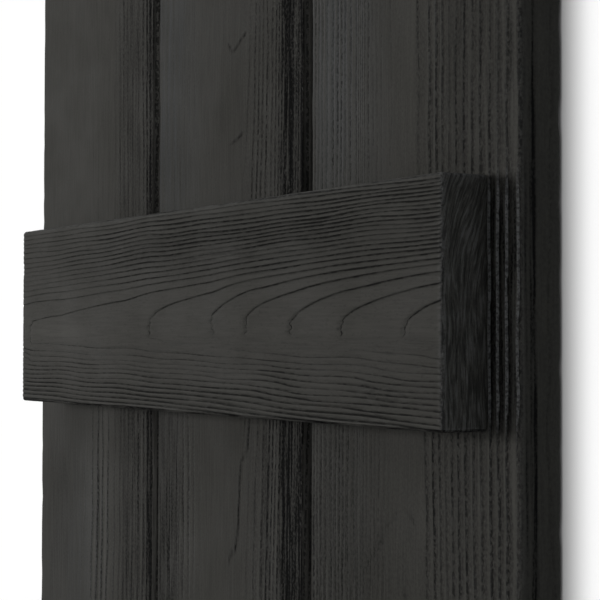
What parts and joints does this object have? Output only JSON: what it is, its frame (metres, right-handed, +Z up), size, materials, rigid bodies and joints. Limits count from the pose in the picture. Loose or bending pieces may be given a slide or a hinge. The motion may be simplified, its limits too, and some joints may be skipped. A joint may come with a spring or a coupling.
{
  "type": "board and batten shutter",
  "caption": "Joined exterior window shutter of upright tongue and groove boards with V joints, held by battens across the front, in black-stained raised-grain wood.",
  "frame": {"origin": "middle of the back face, which lies against the wall", "axes": "+Z up along the boards, +X to the right seen from the front, the front faces -Y and the wall is at +Y"},
  "size_m": [0.419, 0.0366, 1.2192],
  "materials": {
    "stained_board": "black stain on raised grain, satin",
    "stained_batten": "black stain on raised grain, satin",
    "screw_steel": "dull dark zinc"
  },
  "bodies": {
    "root": {"left_board": "stained_board", "middle_board": "stained_board", "right_board": "stained_board", "top_batten": "stained_batten", "bottom_batten": "stained_batten"}
  },
  "joints": []
}
